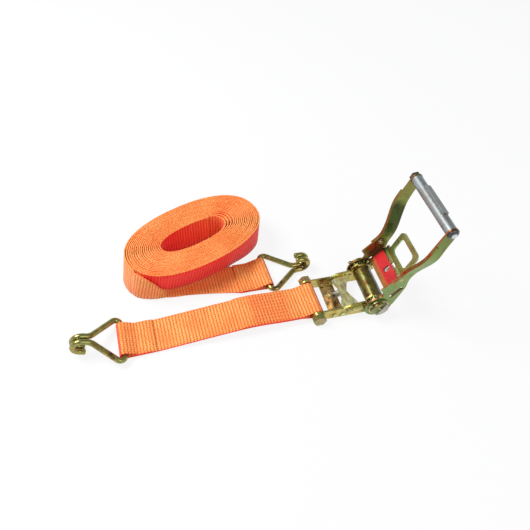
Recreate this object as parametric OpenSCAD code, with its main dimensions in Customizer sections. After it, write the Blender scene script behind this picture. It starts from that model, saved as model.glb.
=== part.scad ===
// Ratchet tie down for 50 mm webbing: ratchet buckle, short strap, coiled long strap, two wire hooks.
// X runs along the frame from the strap bolt to the spool, Y along the spool, Z up.
// The origin is on the underside of the frame's bottom web, midway between the side plates.

/* [Webbing] */
// Width of the webbing
web_w = 50; // [46:0.5:50.5]
// Thickness of the webbing
web_t = 2.6; // [2:0.1:2.8]
// Distance from the strap bolt to the hook at the far end of the short strap
short_reach = 264; // [255:1:300]
// Length of the sewn overlap next to the strap bolt
bolt_lap = 110; // [100:1:120]
// Length of the sewn overlap next to each hook
hook_lap = 42; // [36:1:46]
// Length of the oval hank that the long strap is coiled into
hank_len = 214; // [200:1:230]
// Width of the oval hank
hank_wid = 122; // [112:1:126]
// Length of the opening in the middle of the hank
hank_hole_len = 108; // [80:1:112]
// Width of the opening in the middle of the hank
hank_hole_wid = 40; // [30:1:46]

/* [Frame] */
// Distance from the strap bolt to the spool's axis
span = 81; // [80:0.5:86]
// Height of the spool's axis above the floor
axle_z = 20; // [19.8:0.1:24]
// Height of the side plates where the strap bolt goes through them
bar_h = 18; // [17.8:0.1:19]
// Thickness of the side plates and of the bottom web
plate_t = 2.3; // [2:0.1:2.6]
// Room between the webbing's edge and a side plate
strap_gap = 1; // [0.8:0.1:2]
// Width of the bottom web along the frame
bottom_w = 20; // [16:0.5:22]

/* [Ratchet] */
// Radius of the two half-round spool bars when they are closed up
spool_r = 12.5; // [11.5:0.1:12.8]
// Width of the slot between the spool bars
slot_w = 6; // [4:0.1:6.5]
// Direction that the spool's slot points in, in degrees above +X
slot_angle = 60; // [0:5:90]
// Radius over the tips of the ratchet teeth
tip_r = 19.5; // [19:0.1:19.7]
// Depth of the ratchet teeth
tooth_h = 4.3; // [3.5:0.1:4.5]
// Thickness of each ratchet wheel
wheel_t = 4; // [3:0.1:5]
// Thickness of the lock plate and of the drive pawl
pawl_t = 2.5; // [2:0.1:2.7]

/* [Handle] */
// Distance from the spool's axis to the grip's axis
arm_len = 159; // [155:1:180]
// Thickness of the handle's side plates
arm_t = 2.2; // [1.8:0.1:2.8]
// Depth of the folded lip that stiffens each handle plate
lip_d = 5; // [4:0.5:7]
// Room between the handle plates at the grip
grip_room = 94.6; // [90:0.2:100]
// Diameter of the grip tube
grip_d = 14.8; // [14:0.1:16]
// Height of the anti-slip rib on the grip
rib_h = 1.2; // [0.8:0.1:2]

/* [Fasteners] */
// Diameter of the strap bolt
bolt_d = 10; // [8:0.5:10]
// Width across the flats of the strap bolt's head and nut
bolt_af = 16; // [15:0.5:17.5]
// Diameter of the bolt through the grip
grip_bolt_d = 8; // [6:0.5:9]
// Diameter of the rivets
rivet_d = 4; // [3:0.5:4.5]

/* [Hooks] */
// Diameter of the hook wire
wire_d = 8; // [7:0.2:8.4]
// Half of the distance between the two hook arms at the strap
hook_half = 31; // [30.5:0.5:34]
// Radius of the hook's bend, to the middle of the wire
bend_r = 11; // [10:0.5:14]
// Length of the straight tip after the bend
tip_len = 8; // [4:0.5:12]

/* [Hidden] */
$fn = 48;

// Clearances
side_gap = 0.4;
run_gap = 0.05;
slide_gap = 0.2;
eye_gap = 0.8;

// Places along the frame
bolt_x = -29;
bolt_z = bar_h / 2;
axle_x = bolt_x + span;

// Layers across the frame, from the middle outwards
in_half = web_w / 2 + strap_gap;
frame_out = in_half + plate_t;
wheel_in = frame_out + side_gap;
wheel_out = wheel_in + wheel_t;
arm_in = wheel_out + side_gap;
arm_out = arm_in + arm_t;
washer_t = 2;
washer_in = arm_out + side_gap;
washer_out = washer_in + washer_t;
spool_half_len = washer_out + 3.5;

// Ratchet teeth: both pawl lines stand on gaps between teeth, so their angles are whole
// pitches apart
teeth = 16;
pitch = 360 / teeth;
tooth_land = 3;
tooth_back = 10;
gap_middle = 15.9;
lock_angle = 187.5;
handle_rest = 69.2;
pawl_lean = -16.7;
pawl_angle = handle_rest + pawl_lean;
wheel_phase = lock_angle - gap_middle;
root_r = tip_r - tooth_h;
rest_r = tip_r + side_gap;
pawl_in = 4.3;
pawl_out = 2.5;

// Ears of the frame: low where the drive pawl works, high lobes beside the closed-handle notch
ear_r = tip_r - side_gap;
ear_low_r = spool_r + 2.3;
notch_angle = lock_angle - 30;
notch_half = 8;
lobe_start = 118;
ear_end = 333;

// Lock plate, measured outwards from the spool's axis
ear_len = 20.5;
lock_body_in = rest_r + 2.8;
lock_body_out = rest_r + 26.5;
lock_waist_in = rest_r + 12;
lock_seat = rest_r + 22.5;
tongue_half = 2.1;
wall_in = lock_seat + 11.5;
lock_wire = 1.3;
lock_spring_r = 4.8;

// Handle
hub_r = ear_r;
flare_in = 63;
flare_out = arm_len - 36;
flare_steps = 12;
grip_in = grip_room / 2;
grip_end_r = 8;
slot_half = 3;
guide_from = 25.2;
guide_to = 41;
// Outline of a handle plate: the back with its tip, from the neck to the grip, then the front
tip_line = [[15, 11.5], [19, 6.5], [23, 6.2], [28, 9.5], [32.5, 15.2], [36, 14.4]];
back_line = [[50, 9.2], [flare_in, 4.8], [flare_in + 17, 4.3], [flare_in + 34, 5.2],
    [flare_out, 7.6], [arm_len, grip_end_r]];
front_line = [[arm_len, -grip_end_r], [flare_out + 8, -9.6], [flare_in + 47, -12.7],
    [flare_in + 33, -13.8], [flare_in + 19, -14.4], [61, -13.2], [50, -15.4], [42, -17.7],
    [24, -18.8], [6, -19.2]];

// Handle web and drive pawl, measured along the pawl's line
web_from = 27;
web_to = 46;
web_gap = 0.3;
web_base = pawl_t / 2 + web_gap;
web_sheet = 2.5;
flange_top = 9.5;
web_rivet = [54.8, 16.5];
spring_from = 33;
spring_to = 43;
pawl_wire = 0.9;
pawl_spring_r = 2.7;
pawl_bend = 51;
rail_out = 24;
rail_in = 17;
finger_from = 56;
finger_to = 82;
loop_end = 89;
corner_r = 6;

// Webbing eyes and hooks
bolt_eye_in = bolt_d / 2 + eye_gap;
bolt_eye_out = bolt_eye_in + web_t;
hook_eye_in = wire_d / 2 + eye_gap / 2;
hook_eye_out = hook_eye_in + web_t;
hook_axis_z = hook_eye_out;
short_yaw = 1.7;
long_yaw = 3;
long_eye = [-81.5, 62];
short_pitch = 23.5;
long_pitch = -3.3;
arm_angle = 38;
corner_bend = 7;
shoulder_bend = 16;
wire_gap = wire_d / 2 + 0.2;
shank_len = 3.5;

// Hank of the long strap
hank_at = [-173, 122];
hank_turn = 21;

// Underside of the short strap: distance back from the strap bolt, then height
short_line = [[22, 6], [50, 7.5], [83, 10.5], [110, 10], [155, 6.5], [195, 3], [222, 1], [246, 0.5]];

// Edges of the long strap between its sewn overlap and the hank: near edge, then far edge
near_line = [[-108, 36.5, 6.6], [-132, 40, 5], [-157, 45, 3.2], [-179, 45, 3.5], [-193, 44, 8],
    [-208, 38, 18], [-218, 31, 29], [-227, 29, 40], [-236, 35, 46.5], [-246, 49, 49.5],
    [-257, 66, 50], [-268, 84, 50]];
far_line = [[-108, 84.3, 6.6], [-132, 89.5, 2.6], [-157, 95, 1.5], [-180, 95, 1.5], [-196, 93.5, 1.5],
    [-209, 84.5, 1.5], [-219, 71, 1.5], [-227, 60, 1.5], [-236, 54.5, 1.5], [-246, 53.5, 1.5],
    [-259, 60, 1.5], [-272, 76, 1.5]];
// Rooms in the hank: over the sewn overlap, over the twist, and beside the strap on its edge
sewn_room = [-96, 11];
twist_room = [-176, 18.6];
edge_room = [[-227, 0], [-227, 62], [-236, 57.5], [-246, 56], [-255.6, 67.6], [-266, 85.6],
    [-269.5, 87.5], [-320, 70], [-320, 0]];

// ---- Helpers ----

function polar(r, a) = [r * cos(a), r * sin(a)];

// Smooth line through hand-set points
function mid(a, b, c, d, t) =
    0.5 * (2 * b + (c - a) * t + (2 * a - 5 * b + 4 * c - d) * t * t
        + (3 * b - a - 3 * c + d) * t * t * t);
function smooth(p, n) = [
    for (i = [0 : len(p) - 2], k = [0 : n - 1])
        mid(p[max(i - 1, 0)], p[i], p[i + 1], p[min(i + 2, len(p) - 1)], k / n),
    p[len(p) - 1]
];
function unit(v) = v / norm(v);
function oval(a, b, n = 48, e = 2.3) = [
    for (i = [0 : n - 1])
        let (c = cos(360 * i / n), s = sin(360 * i / n))
            [a * sign(c) * pow(abs(c), 2 / e), b * sign(s) * pow(abs(s), 2 / e)]
];

// Turn about Y, counter-clockwise for someone looking along +Y
module swing(a) rotate([0, -a, 0]) children();
module at_axle(a) translate([axle_x, 0, axle_z]) swing(a) children();
module both_sides() {
    children();
    mirror([0, 1, 0]) children();
}
// A profile drawn in X and Z, filled from y0 to y0 + t
module slab(y0, t) translate([0, y0 + t, 0]) rotate([90, 0, 0]) linear_extrude(t) children();
// A sheet drawn in X and Y, t thick with its middle at height z
module sheet(z, t) translate([0, 0, z - t / 2]) linear_extrude(t) children();
module rod(r, y0, y1) translate([0, y1, 0]) rotate([90, 0, 0]) cylinder(r = r, h = y1 - y0);
module hex_rod(af, y0, y1)
    translate([0, y1, 0]) rotate([90, 0, 0]) cylinder(r = af / sqrt(3), h = y1 - y0, $fn = 6);
module wedge(r, a0, a1)
    polygon(concat([[0, 0]], [for (k = [0 : 4]) polar(2 * r, a0 + (a1 - a0) * k / 4)]));
module mirrored_outline(p)
    polygon(concat(p, [for (i = [len(p) - 1 : -1 : 0]) [p[i][0], -p[i][1]]]));
module round_window(x0, x1, half, r) {
    translate([x0 + r, -half]) square([x1 - x0 - 2 * r, 2 * half]);
    translate([x0, r - half]) square([x1 - x0, 2 * (half - r)]);
    for (x = [x0 + r, x1 - r], y = [r - half, half - r]) translate([x, y]) circle(r);
}
// Round bar along a line of points; each ring is turned from the one before it
function carried(v, d) = unit(v - (v * d) * d);
function along(p, i) = unit(p[min(i + 1, len(p) - 1)] - p[max(i - 1, 0)]);
function normals(p) = [for (i = 0, v = carried([0.1, 0.2, 1], along(p, 0)); i < len(p);
    i = i + 1, v = i < len(p) ? carried(v, along(p, i)) : v) v];
module tube(p, r, sides) {
    v = normals(p);
    rings = [for (i = [0 : len(p) - 1], k = [0 : sides - 1])
        p[i] + r * (cos(360 * k / sides) * v[i] + sin(360 * k / sides) * cross(along(p, i), v[i]))];
    skinned(rings, sides);
}
// Closed skin over rings of points
module skinned(rings, sides) {
    last = len(rings) / sides - 1;
    skin = [for (i = [0 : last - 1], k = [0 : sides - 1])
        let (a = i * sides + k, b = i * sides + (k + 1) % sides)
            each [[b, a, a + sides], [b, a + sides, b + sides]]];
    end = last * sides;
    caps = [for (k = [1 : sides - 2]) each [[0, k, k + 1], [end, end + k + 1, end + k]]];
    polyhedron(rings, concat(skin, caps));
}
// Compression spring along +X
module coil_spring(length, r, wire, turns) {
    steps = turns * 14;
    sides = 6;
    ring = [for (i = [0 : steps], k = [0 : sides - 1])
        let (a = 360 * turns * i / steps, b = 360 * k / sides,
            x = wire / 2 + (length - wire) * i / steps, out = r - wire / 2 + wire / 2 * cos(b))
            [x + wire / 2 * sin(b), out * cos(a), out * sin(a)]];
    skinned(ring, sides);
}

// ---- Frame ----

module frame_outline() {
    translate([bolt_x, bolt_z]) circle(bar_h / 2);
    polygon([[bolt_x, 0], [axle_x, axle_z - ear_r], [axle_x, axle_z],
        [axle_x, axle_z] + polar(ear_r, notch_angle + notch_half), [axle_x - 36, bar_h + 4],
        [axle_x - 46, bar_h], [bolt_x, bar_h]]);
    translate([axle_x, axle_z]) {
        circle(ear_low_r);
        intersection() {
            circle(ear_r);
            union() {
                wedge(ear_r, lobe_start, notch_angle - notch_half);
                wedge(ear_r, notch_angle + notch_half, ear_end);
            }
        }
    }
}
module bracket_holes(r) for (x = [-1, 1]) translate([x * bottom_w * 0.3, 0, 6.5]) rod(r, -60, 60);
module base_plate() {
    difference() {
        slab(in_half, plate_t) frame_outline();
        translate([axle_x, 0, axle_z]) rod(spool_r + run_gap, 0, 60);
        translate([bolt_x, 0, bolt_z]) rod(bolt_d / 2 + 0.1, 0, 60);
        bracket_holes(rivet_d / 2);
        at_axle(lock_angle)
            translate([root_r - slide_gap, 0, -pawl_t / 2 - slide_gap])
                cube([rest_r + ear_len + pawl_out + slide_gap - root_r + slide_gap, 60,
                    pawl_t + 2 * slide_gap]);
    }
}
module base_plate_near() color("olive") mirror([0, 1, 0]) base_plate();
module base_plate_far() color("olive") base_plate();

module spring_bracket() color("rosybrown") {
    flange_h = 11;
    difference() {
        union() {
            translate([-bottom_w / 2, -in_half, 0]) cube([bottom_w, 2 * in_half, plate_t]);
            both_sides()
                translate([-bottom_w / 2, in_half - plate_t, 0]) cube([bottom_w, plate_t, flange_h]);
        }
        bracket_holes(rivet_d / 2);
    }
    // Upright wall that the lock spring pushes against, with a window for the tongue
    at_axle(lock_angle) difference() {
        translate([wall_in, -12, -4.5]) cube([plate_t, 24, 4.5 + axle_z - 9]);
        translate([wall_in - 1, -tongue_half - slide_gap, -pawl_t / 2 - slide_gap])
            cube([plate_t + 2, 2 * (tongue_half + slide_gap), pawl_t + 2 * slide_gap]);
    }
}
module bracket_rivets() color("darkkhaki")
    for (x = [-1, 1]) translate([x * bottom_w * 0.3, 0, 6.5]) both_sides() {
        rod(rivet_d / 2, in_half - plate_t, frame_out);
        rod(rivet_d * 0.8, frame_out, frame_out + 1.2);
        rod(rivet_d * 0.8, in_half - plate_t - 1.2, in_half - plate_t);
    }

bolt_washer_t = 1.6;
bolt_head = 6.8;
module at_strap_bolt() translate([bolt_x, 0, bolt_z]) children();
module strap_bolt() color("yellowgreen") at_strap_bolt() {
    rod(bolt_d / 2, -frame_out - bolt_washer_t, frame_out + bolt_washer_t + bolt_head + 2.5);
    hex_rod(bolt_af, -frame_out - bolt_washer_t - bolt_head, -frame_out - bolt_washer_t);
}
module strap_bolt_nut() color("darkseagreen") at_strap_bolt() difference() {
    hex_rod(bolt_af, frame_out + bolt_washer_t, frame_out + bolt_washer_t + bolt_head);
    rod(bolt_d / 2, 0, 60);
}
module strap_bolt_washers() color("gray") at_strap_bolt() both_sides() difference() {
    rod(bolt_af / 2, frame_out, frame_out + bolt_washer_t);
    rod(bolt_d / 2, 0, 60);
}

// ---- Lock plate and its spring ----

module lock_plate() color("khaki") at_axle(lock_angle) sheet(0, pawl_t)
    mirrored_outline([
        [lock_waist_in, 0], [lock_waist_in - 2, 6], [lock_body_in + 1.5, in_half - 7],
        [lock_body_in, in_half - 0.5], [rest_r, in_half + 0.3], [rest_r, wheel_out - 1],
        [rest_r + 1, wheel_out], [rest_r + ear_len - 4, wheel_out],
        [rest_r + ear_len, wheel_out - 3], [rest_r + ear_len, in_half - 0.5],
        [lock_body_out, in_half - 3.5], [lock_body_out, in_half - 9],
        [lock_seat, 9], [lock_seat, tongue_half], [wall_in + 6, tongue_half], [wall_in + 6, 0]]);
module lock_spring() color("silver") at_axle(lock_angle)
    translate([lock_seat, 0, 0])
        coil_spring(wall_in - lock_seat, lock_spring_r, lock_wire, 6);

// ---- Spool ----

module spool_half(side) {
    at_axle(slot_angle) difference() {
        rod(spool_r, -spool_half_len, spool_half_len);
        translate([-20, -60, side > 0 ? -20 : -slot_w / 2]) cube([40, 120, 20 + slot_w / 2]);
        both_sides() translate([0, washer_out + 1.6, -20]) cylinder(r = 1.3, h = 40);
    }
}
module spool_half_a() color("yellowgreen") spool_half(1);
module spool_half_b() color("slategray") spool_half(-1);
// Two half-round holes with the rib between them that keys the spool bars
module spool_holes() at_axle(slot_angle) difference() {
    rod(spool_r, 0, 60);
    translate([-20, 0, -slot_w / 2]) cube([40, 60, slot_w]);
}
module ratchet_wheel() {
    difference() {
        translate([axle_x, 0, axle_z]) slab(wheel_in, wheel_t)
            polygon([for (i = [0 : teeth - 1]) let (a = wheel_phase + i * pitch) each [
                polar(root_r, a), polar(tip_r, a), polar(tip_r, a + tooth_land),
                polar(root_r, a + tooth_back)]]);
        spool_holes();
    }
}
module ratchet_wheel_near() color("darkolivegreen") mirror([0, 1, 0]) ratchet_wheel();
module ratchet_wheel_far() color("darkolivegreen") ratchet_wheel();
module spool_washers() color("darkkhaki") both_sides() difference() {
    translate([axle_x, 0, axle_z]) rod(spool_r + 2, washer_in, washer_out);
    spool_holes();
}
module spool_cotters() color("dimgray") at_axle(slot_angle) both_sides()
    translate([0, washer_out + 1.6, 0]) {
        translate([0, 0, -spool_r - 2]) cylinder(r = 1.2, h = 2 * spool_r + 3.5);
        translate([0, 0, spool_r + 3.5]) rotate([90, 0, 0])
            rotate_extrude() translate([2, 0]) circle(0.8, $fn = 24);
    }

// ---- Handle, drawn with its length along +X ----

module arm_outline() {
    circle(hub_r);
    polygon(concat(smooth(tip_line, 3), smooth(back_line, 3), smooth(front_line, 3), [[0, 0]]));
    translate([arm_len, 0]) circle(grip_end_r);
}
module lip_outline() {
    line = [for (p = smooth(back_line, 3)) if (p[0] < arm_len - grip_end_r - 2) p];
    polygon(concat(line, [for (i = [len(line) - 1 : -1 : 0]) line[i] - [0, arm_t]]));
}
// Plan of a plate, d thick, that swings outwards before the grip
function flare_line(d) = [
    for (i = [0 : flare_steps])
        let (turn = 180 * i / flare_steps, reach = flare_out - flare_in, rise = grip_in - arm_in,
            slope = atan(rise / reach * PI / 2 * sin(turn)))
            [flare_in + reach * i / flare_steps - d * sin(slope),
                arm_in + rise * (1 - cos(turn)) / 2 + d * cos(slope)]
];
module flare_plan(d) {
    start = -hub_r - 1;
    end = arm_len + 15;
    inner = concat([[start, arm_in]], flare_line(0), [[end, grip_in]]);
    outer = concat([[start, arm_in + d]], flare_line(d), [[end, grip_in + d]]);
    polygon(concat(inner, [for (i = [len(outer) - 1 : -1 : 0]) outer[i]]));
}
module handle_plate() {
    difference() {
        union() {
            intersection() {
                slab(0, 80) arm_outline();
                translate([0, 0, -30]) linear_extrude(60) flare_plan(arm_t);
            }
            intersection() {
                slab(0, 80) lip_outline();
                translate([0, 0, -30]) linear_extrude(60) flare_plan(lip_d);
            }
        }
        rod(spool_r + run_gap, 0, 80);
        translate([arm_len, 0, 0]) rod(grip_bolt_d / 2 + 0.1, 0, 80);
        swing(pawl_lean) {
            translate([guide_from - pawl_in - slide_gap, 0, -slot_half])
                cube([guide_to - guide_from + pawl_in + pawl_out + 2 * slide_gap, 80,
                    2 * slot_half]);
            web_rivet_spots() rod(rivet_d / 2, 0, 80);
        }
    }
}
module web_rivet_spots() translate([web_rivet[0], 0, web_rivet[1]]) children();
module handle_plate_near() color("olivedrab") at_axle(handle_rest) mirror([0, 1, 0]) handle_plate();
module handle_plate_far() color("olivedrab") at_axle(handle_rest) handle_plate();

module handle_web() color("crimson") at_axle(pawl_angle) {
    difference() {
        union() {
            translate([web_from, -arm_in, web_base]) cube([web_to - web_from, 2 * arm_in, web_sheet]);
            // Flanges that reach up to the rivets in the handle plates
            both_sides() slab(arm_in - web_sheet, web_sheet) polygon([[web_from + 1, web_base],
                [web_to - 2, web_base], [web_rivet[0] + 4.7, web_rivet[1] - 2.5],
                [web_rivet[0] + 4.7, web_rivet[1] + 2.5], web_rivet + [-0.8, 4.5],
                web_rivet + [-5.8, 2.5], [web_from + 13, flange_top], [web_from + 1, flange_top]]);
        }
        translate([spring_from, -pawl_spring_r - 0.5, 0])
            cube([spring_to - spring_from, 2 * pawl_spring_r + 1, 6]);
        both_sides() web_rivet_spots() rod(rivet_d / 2, 0, 80);
    }
    // Tab that the drive spring pushes against
    translate([spring_to, -3.8, -4]) cube([web_sheet, 7.6, 4 + web_base]);
}
module web_rivets() color("goldenrod") at_axle(pawl_angle) both_sides() web_rivet_spots() {
    rod(rivet_d / 2, arm_in - web_sheet, arm_out);
    rod(rivet_d * 0.75, arm_out, arm_out + 1.2);
    rod(rivet_d * 0.75, arm_in - web_sheet - 1, arm_in - web_sheet);
}
module at_grip() at_axle(handle_rest) translate([arm_len, 0, 0]) children();
module grip_tube() color("lightsteelblue") at_grip() difference() {
    union() {
        rod(grip_d / 2, -grip_in + 0.1, grip_in - 0.1);
        translate([0, -0.24 * grip_room, -4]) cube([grip_d / 2 + rib_h, 0.52 * grip_room, 8]);
    }
    rod(grip_bolt_d / 2 + 0.1, -80, 80);
}
grip_head_t = 4.5;
module grip_bolt() color("darkslategray") at_grip() {
    rod(grip_bolt_d / 2, -grip_in - arm_t, grip_in + arm_t + grip_head_t + 1);
    translate([0, -grip_in - arm_t, 0]) rotate([90, 0, 0]) intersection() {
        cylinder(r = grip_end_r - 0.8, h = grip_head_t);
        translate([0, 0, grip_head_t - 10]) sphere(10);
    }
}
module grip_nut() color("dimgray") at_grip() difference() {
    hex_rod(13, grip_in + arm_t, grip_in + arm_t + grip_head_t);
    rod(grip_bolt_d / 2, 0, 80);
}

// ---- Drive pawl and its spring ----

module drive_pawl() color("olive") {
    at_axle(pawl_angle) {
        sheet(0, pawl_t) difference() {
            mirrored_outline([[rest_r, 0], [rest_r, wheel_out - 1], [rest_r + 1, wheel_out],
                [guide_to + 4, wheel_out], [pawl_bend + 0.4, wheel_out - 3],
                [pawl_bend + 0.4, 0]]);
            translate([spring_from, -4.2]) square([pawl_bend - spring_from, 8.4]);
        }
        both_sides() {
            translate([guide_from, wheel_out - 0.5, -pawl_t / 2])
                cube([guide_to - guide_from, arm_out - wheel_out + 0.5, pawl_t]);
            translate([guide_from, arm_in + 0.15, slide_gap - slot_half])
                cube([guide_to - guide_from, arm_t - 0.15, 2 * (slot_half - slide_gap)]);
        }
    }
    // The pull end lies parallel with the handle
    at_axle(handle_rest) translate([0, 0, pawl_bend * sin(pawl_lean)]) sheet(0, pawl_t)
        difference() {
            union() {
                translate([pawl_bend * cos(pawl_lean) - 0.5, -wheel_out + 3])
                    square([6, 2 * wheel_out - 6]);
                round_window(pawl_bend * cos(pawl_lean) - 0.5, loop_end, rail_out, corner_r + 1.5);
            }
            round_window(finger_from, finger_to, rail_in, corner_r);
        }
}
module drive_spring() color("silver") at_axle(pawl_angle) translate([spring_from, 0, 0])
    coil_spring(spring_to - spring_from, pawl_spring_r, pawl_wire, 5);

// ---- Hooks: the crossbar lies on Y, the shank runs along +X and the bend rises to +Z ----

// Middle of the wire on one side, from the crossbar's end to the tip
function arc(at, r, from, turn, n) = [for (i = [0 : n]) at + r * [cos(from + turn * i / n),
    sin(from + turn * i / n), 0]];
function hook_side() =
    let (y_c = hook_half - corner_bend,
        corner = arc([corner_bend, y_c, 0], corner_bend, 180, -90 - arm_angle, 6),
        arm = corner[6],
        drop = arm[1] - shoulder_bend * (1 - cos(arm_angle)) - wire_gap,
        away = arm + drop / sin(arm_angle) * [cos(arm_angle), -sin(arm_angle), 0],
        centre = away + shoulder_bend * [sin(arm_angle), cos(arm_angle), 0],
        shoulder = arc(centre, shoulder_bend, -90 - arm_angle, arm_angle, 3),
        bend = shoulder[3] + [shank_len, 0, 0])
    concat(corner, shoulder,
        [for (i = [0 : 12]) bend + bend_r * [sin(15 * i), 0, 1 - cos(15 * i)]],
        [bend + [-tip_len, 0, 2 * bend_r]]);
module hook() {
    side = hook_side();
    tube(concat([for (i = [len(side) - 1 : -1 : 0]) side[i]],
        [for (p = side) [p[0], -p[1], p[2]]]), wire_d / 2, 12);
}
module at_short_strap() translate([bolt_x, 0, 0]) rotate([0, 0, short_yaw]) children();
module at_long_eye()
    translate([long_eye[0], long_eye[1], hook_axis_z]) rotate([0, 0, long_yaw]) children();
module hook_short() color("olive") at_short_strap() translate([-short_reach, 0, hook_axis_z])
    rotate([0, 180 + short_pitch, 0]) hook();
module hook_long() color("olive") at_long_eye() rotate([0, -long_pitch, 0]) hook();

// ---- Webbing ----

module short_strap() color("orange") at_short_strap() difference() {
    line = smooth([for (p = short_line) [-p[0] * short_reach / 264, p[1]]], 4);
    union() {
        // Single layer all the way, then the sewn second layer at each end
        strap_layer(line, 0);
        strap_layer([for (p = line) if (p[0] > -bolt_lap) p], web_t);
        strap_layer([for (p = line) if (p[0] < -short_reach + hook_lap) p], web_t);
        strap_eye([0, bolt_z], bolt_eye_out, line[1]);
        strap_eye([-short_reach, hook_axis_z], hook_eye_out, line[len(line) - 2]);
    }
    translate([0, 0, bolt_z]) rod(bolt_eye_in, -60, 60);
    translate([-short_reach, 0, hook_axis_z]) rod(hook_eye_in, -60, 60);
}
module strap_layer(line, up) slab(-web_w / 2, web_w) polygon(concat([for (p = line) p + [0, up]],
    [for (i = [len(line) - 1 : -1 : 0]) line[i] + [0, up + web_t]]));
module strap_eye(at, r, end) {
    translate([at[0], 0, at[1]]) rod(r, -web_w / 2, web_w / 2);
    slab(-web_w / 2, web_w) polygon([at + [0, r], end + [0, 2 * web_t], end, at - [0, r]]);
}
module long_strap() color("orange") {
    at_long_eye() translate([0, 0, -hook_axis_z]) difference() {
        strap_eye([0, hook_axis_z], hook_eye_out, [-hook_lap, 4]);
        translate([0, 0, hook_axis_z]) rod(hook_eye_in, -60, 60);
    }
    tail_ribbon(smooth(near_line, 4), smooth(far_line, 4));
}
// The hank stands on the floor and on the part of the strap that runs under it
module strap_hank() color("darkorange") difference() {
    translate([hank_at[0], hank_at[1], 0]) rotate([0, 0, hank_turn]) {
        difference() {
            linear_extrude(web_w) polygon(oval(hank_len / 2, hank_wid / 2));
            translate([0, 0, -1]) linear_extrude(web_w + 2)
                polygon(oval(hank_hole_len / 2, hank_hole_wid / 2));
        }
    }
    translate([0, 0, -1]) linear_extrude(1 + web_t + side_gap + 1.6)
        polygon([for (i = [0 : 5]) [near_line[i][0], near_line[i][1]],
            for (i = [5 : -1 : 0]) [far_line[i][0], far_line[i][1] + 2]]);
    translate([sewn_room[0] - 40, long_eye[1], -1]) cube([40, web_w / 2 + 10, 1 + sewn_room[1]]);
    translate([twist_room[0] - 55, 0, -1]) cube([55, 97, 1 + twist_room[1]]);
    translate([0, 0, -1]) linear_extrude(web_w + 2) polygon(edge_room);
}
// A band of webbing between two edge lines
module tail_ribbon(a, b) {
    n = len(a) - 1;
    ring = [for (i = [0 : n])
        let (along = (a + b)[min(i + 1, n)] - (a + b)[max(i - 1, 0)],
            up = unit(cross(along, b[i] - a[i])) * web_t / 2)
            each [a[i] - up, b[i] - up, b[i] + up, a[i] + up]];
    skinned(ring, 4);
}

base_plate_near();
base_plate_far();
spring_bracket();
bracket_rivets();
strap_bolt();
strap_bolt_nut();
strap_bolt_washers();
lock_plate();
lock_spring();
spool_half_a();
spool_half_b();
ratchet_wheel_near();
ratchet_wheel_far();
spool_washers();
spool_cotters();
handle_plate_near();
handle_plate_far();
handle_web();
web_rivets();
grip_tube();
grip_bolt();
grip_nut();
drive_pawl();
drive_spring();
short_strap();
hook_short();
long_strap();
strap_hank();
hook_long();
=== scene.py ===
import math

import bmesh
import bpy
import numpy as np
from mathutils import Matrix, Vector


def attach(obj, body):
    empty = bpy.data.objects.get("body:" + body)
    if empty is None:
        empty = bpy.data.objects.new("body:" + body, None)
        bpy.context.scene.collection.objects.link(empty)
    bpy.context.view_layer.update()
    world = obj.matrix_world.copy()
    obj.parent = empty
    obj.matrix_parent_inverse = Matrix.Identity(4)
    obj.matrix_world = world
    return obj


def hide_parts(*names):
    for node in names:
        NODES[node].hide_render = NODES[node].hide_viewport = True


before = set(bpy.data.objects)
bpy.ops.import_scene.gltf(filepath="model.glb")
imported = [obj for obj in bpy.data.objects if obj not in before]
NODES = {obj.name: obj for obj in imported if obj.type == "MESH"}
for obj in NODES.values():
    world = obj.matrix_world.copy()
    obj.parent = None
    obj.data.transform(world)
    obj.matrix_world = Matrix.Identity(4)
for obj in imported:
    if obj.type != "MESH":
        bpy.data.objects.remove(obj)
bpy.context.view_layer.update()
MM = 0.001


# ---- Camera, floor and light ----

def add_camera():
    """The photograph's camera: azimuth and elevation are those of the place it looks from."""
    data = bpy.data.cameras.new("camera")
    data.sensor_width = 36.0
    data.lens = 38.717
    data.shift_x = 0.0747
    data.shift_y = -0.0894
    data.clip_start = 0.02
    data.clip_end = 30.0
    az, el = math.radians(-12.0), math.radians(46.35)
    forward = Vector((-math.sin(az) * math.cos(el), math.cos(az) * math.cos(el), -math.sin(el)))
    right = Vector((math.cos(az), math.sin(az), 0.0))
    up = right.cross(forward)
    m = Matrix((right, up, -forward)).transposed().to_4x4()
    m.translation = Vector((-0.2441, -0.4298, 0.6634))
    camera = bpy.data.objects.new("camera", data)
    camera.matrix_world = m
    bpy.context.scene.collection.objects.link(camera)
    bpy.context.scene.camera = camera


def new_material(name):
    """An empty node material and its tree."""
    material = bpy.data.materials.new(name)
    material.use_nodes = True
    tree = material.node_tree
    tree.nodes.clear()
    return material, tree


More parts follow.
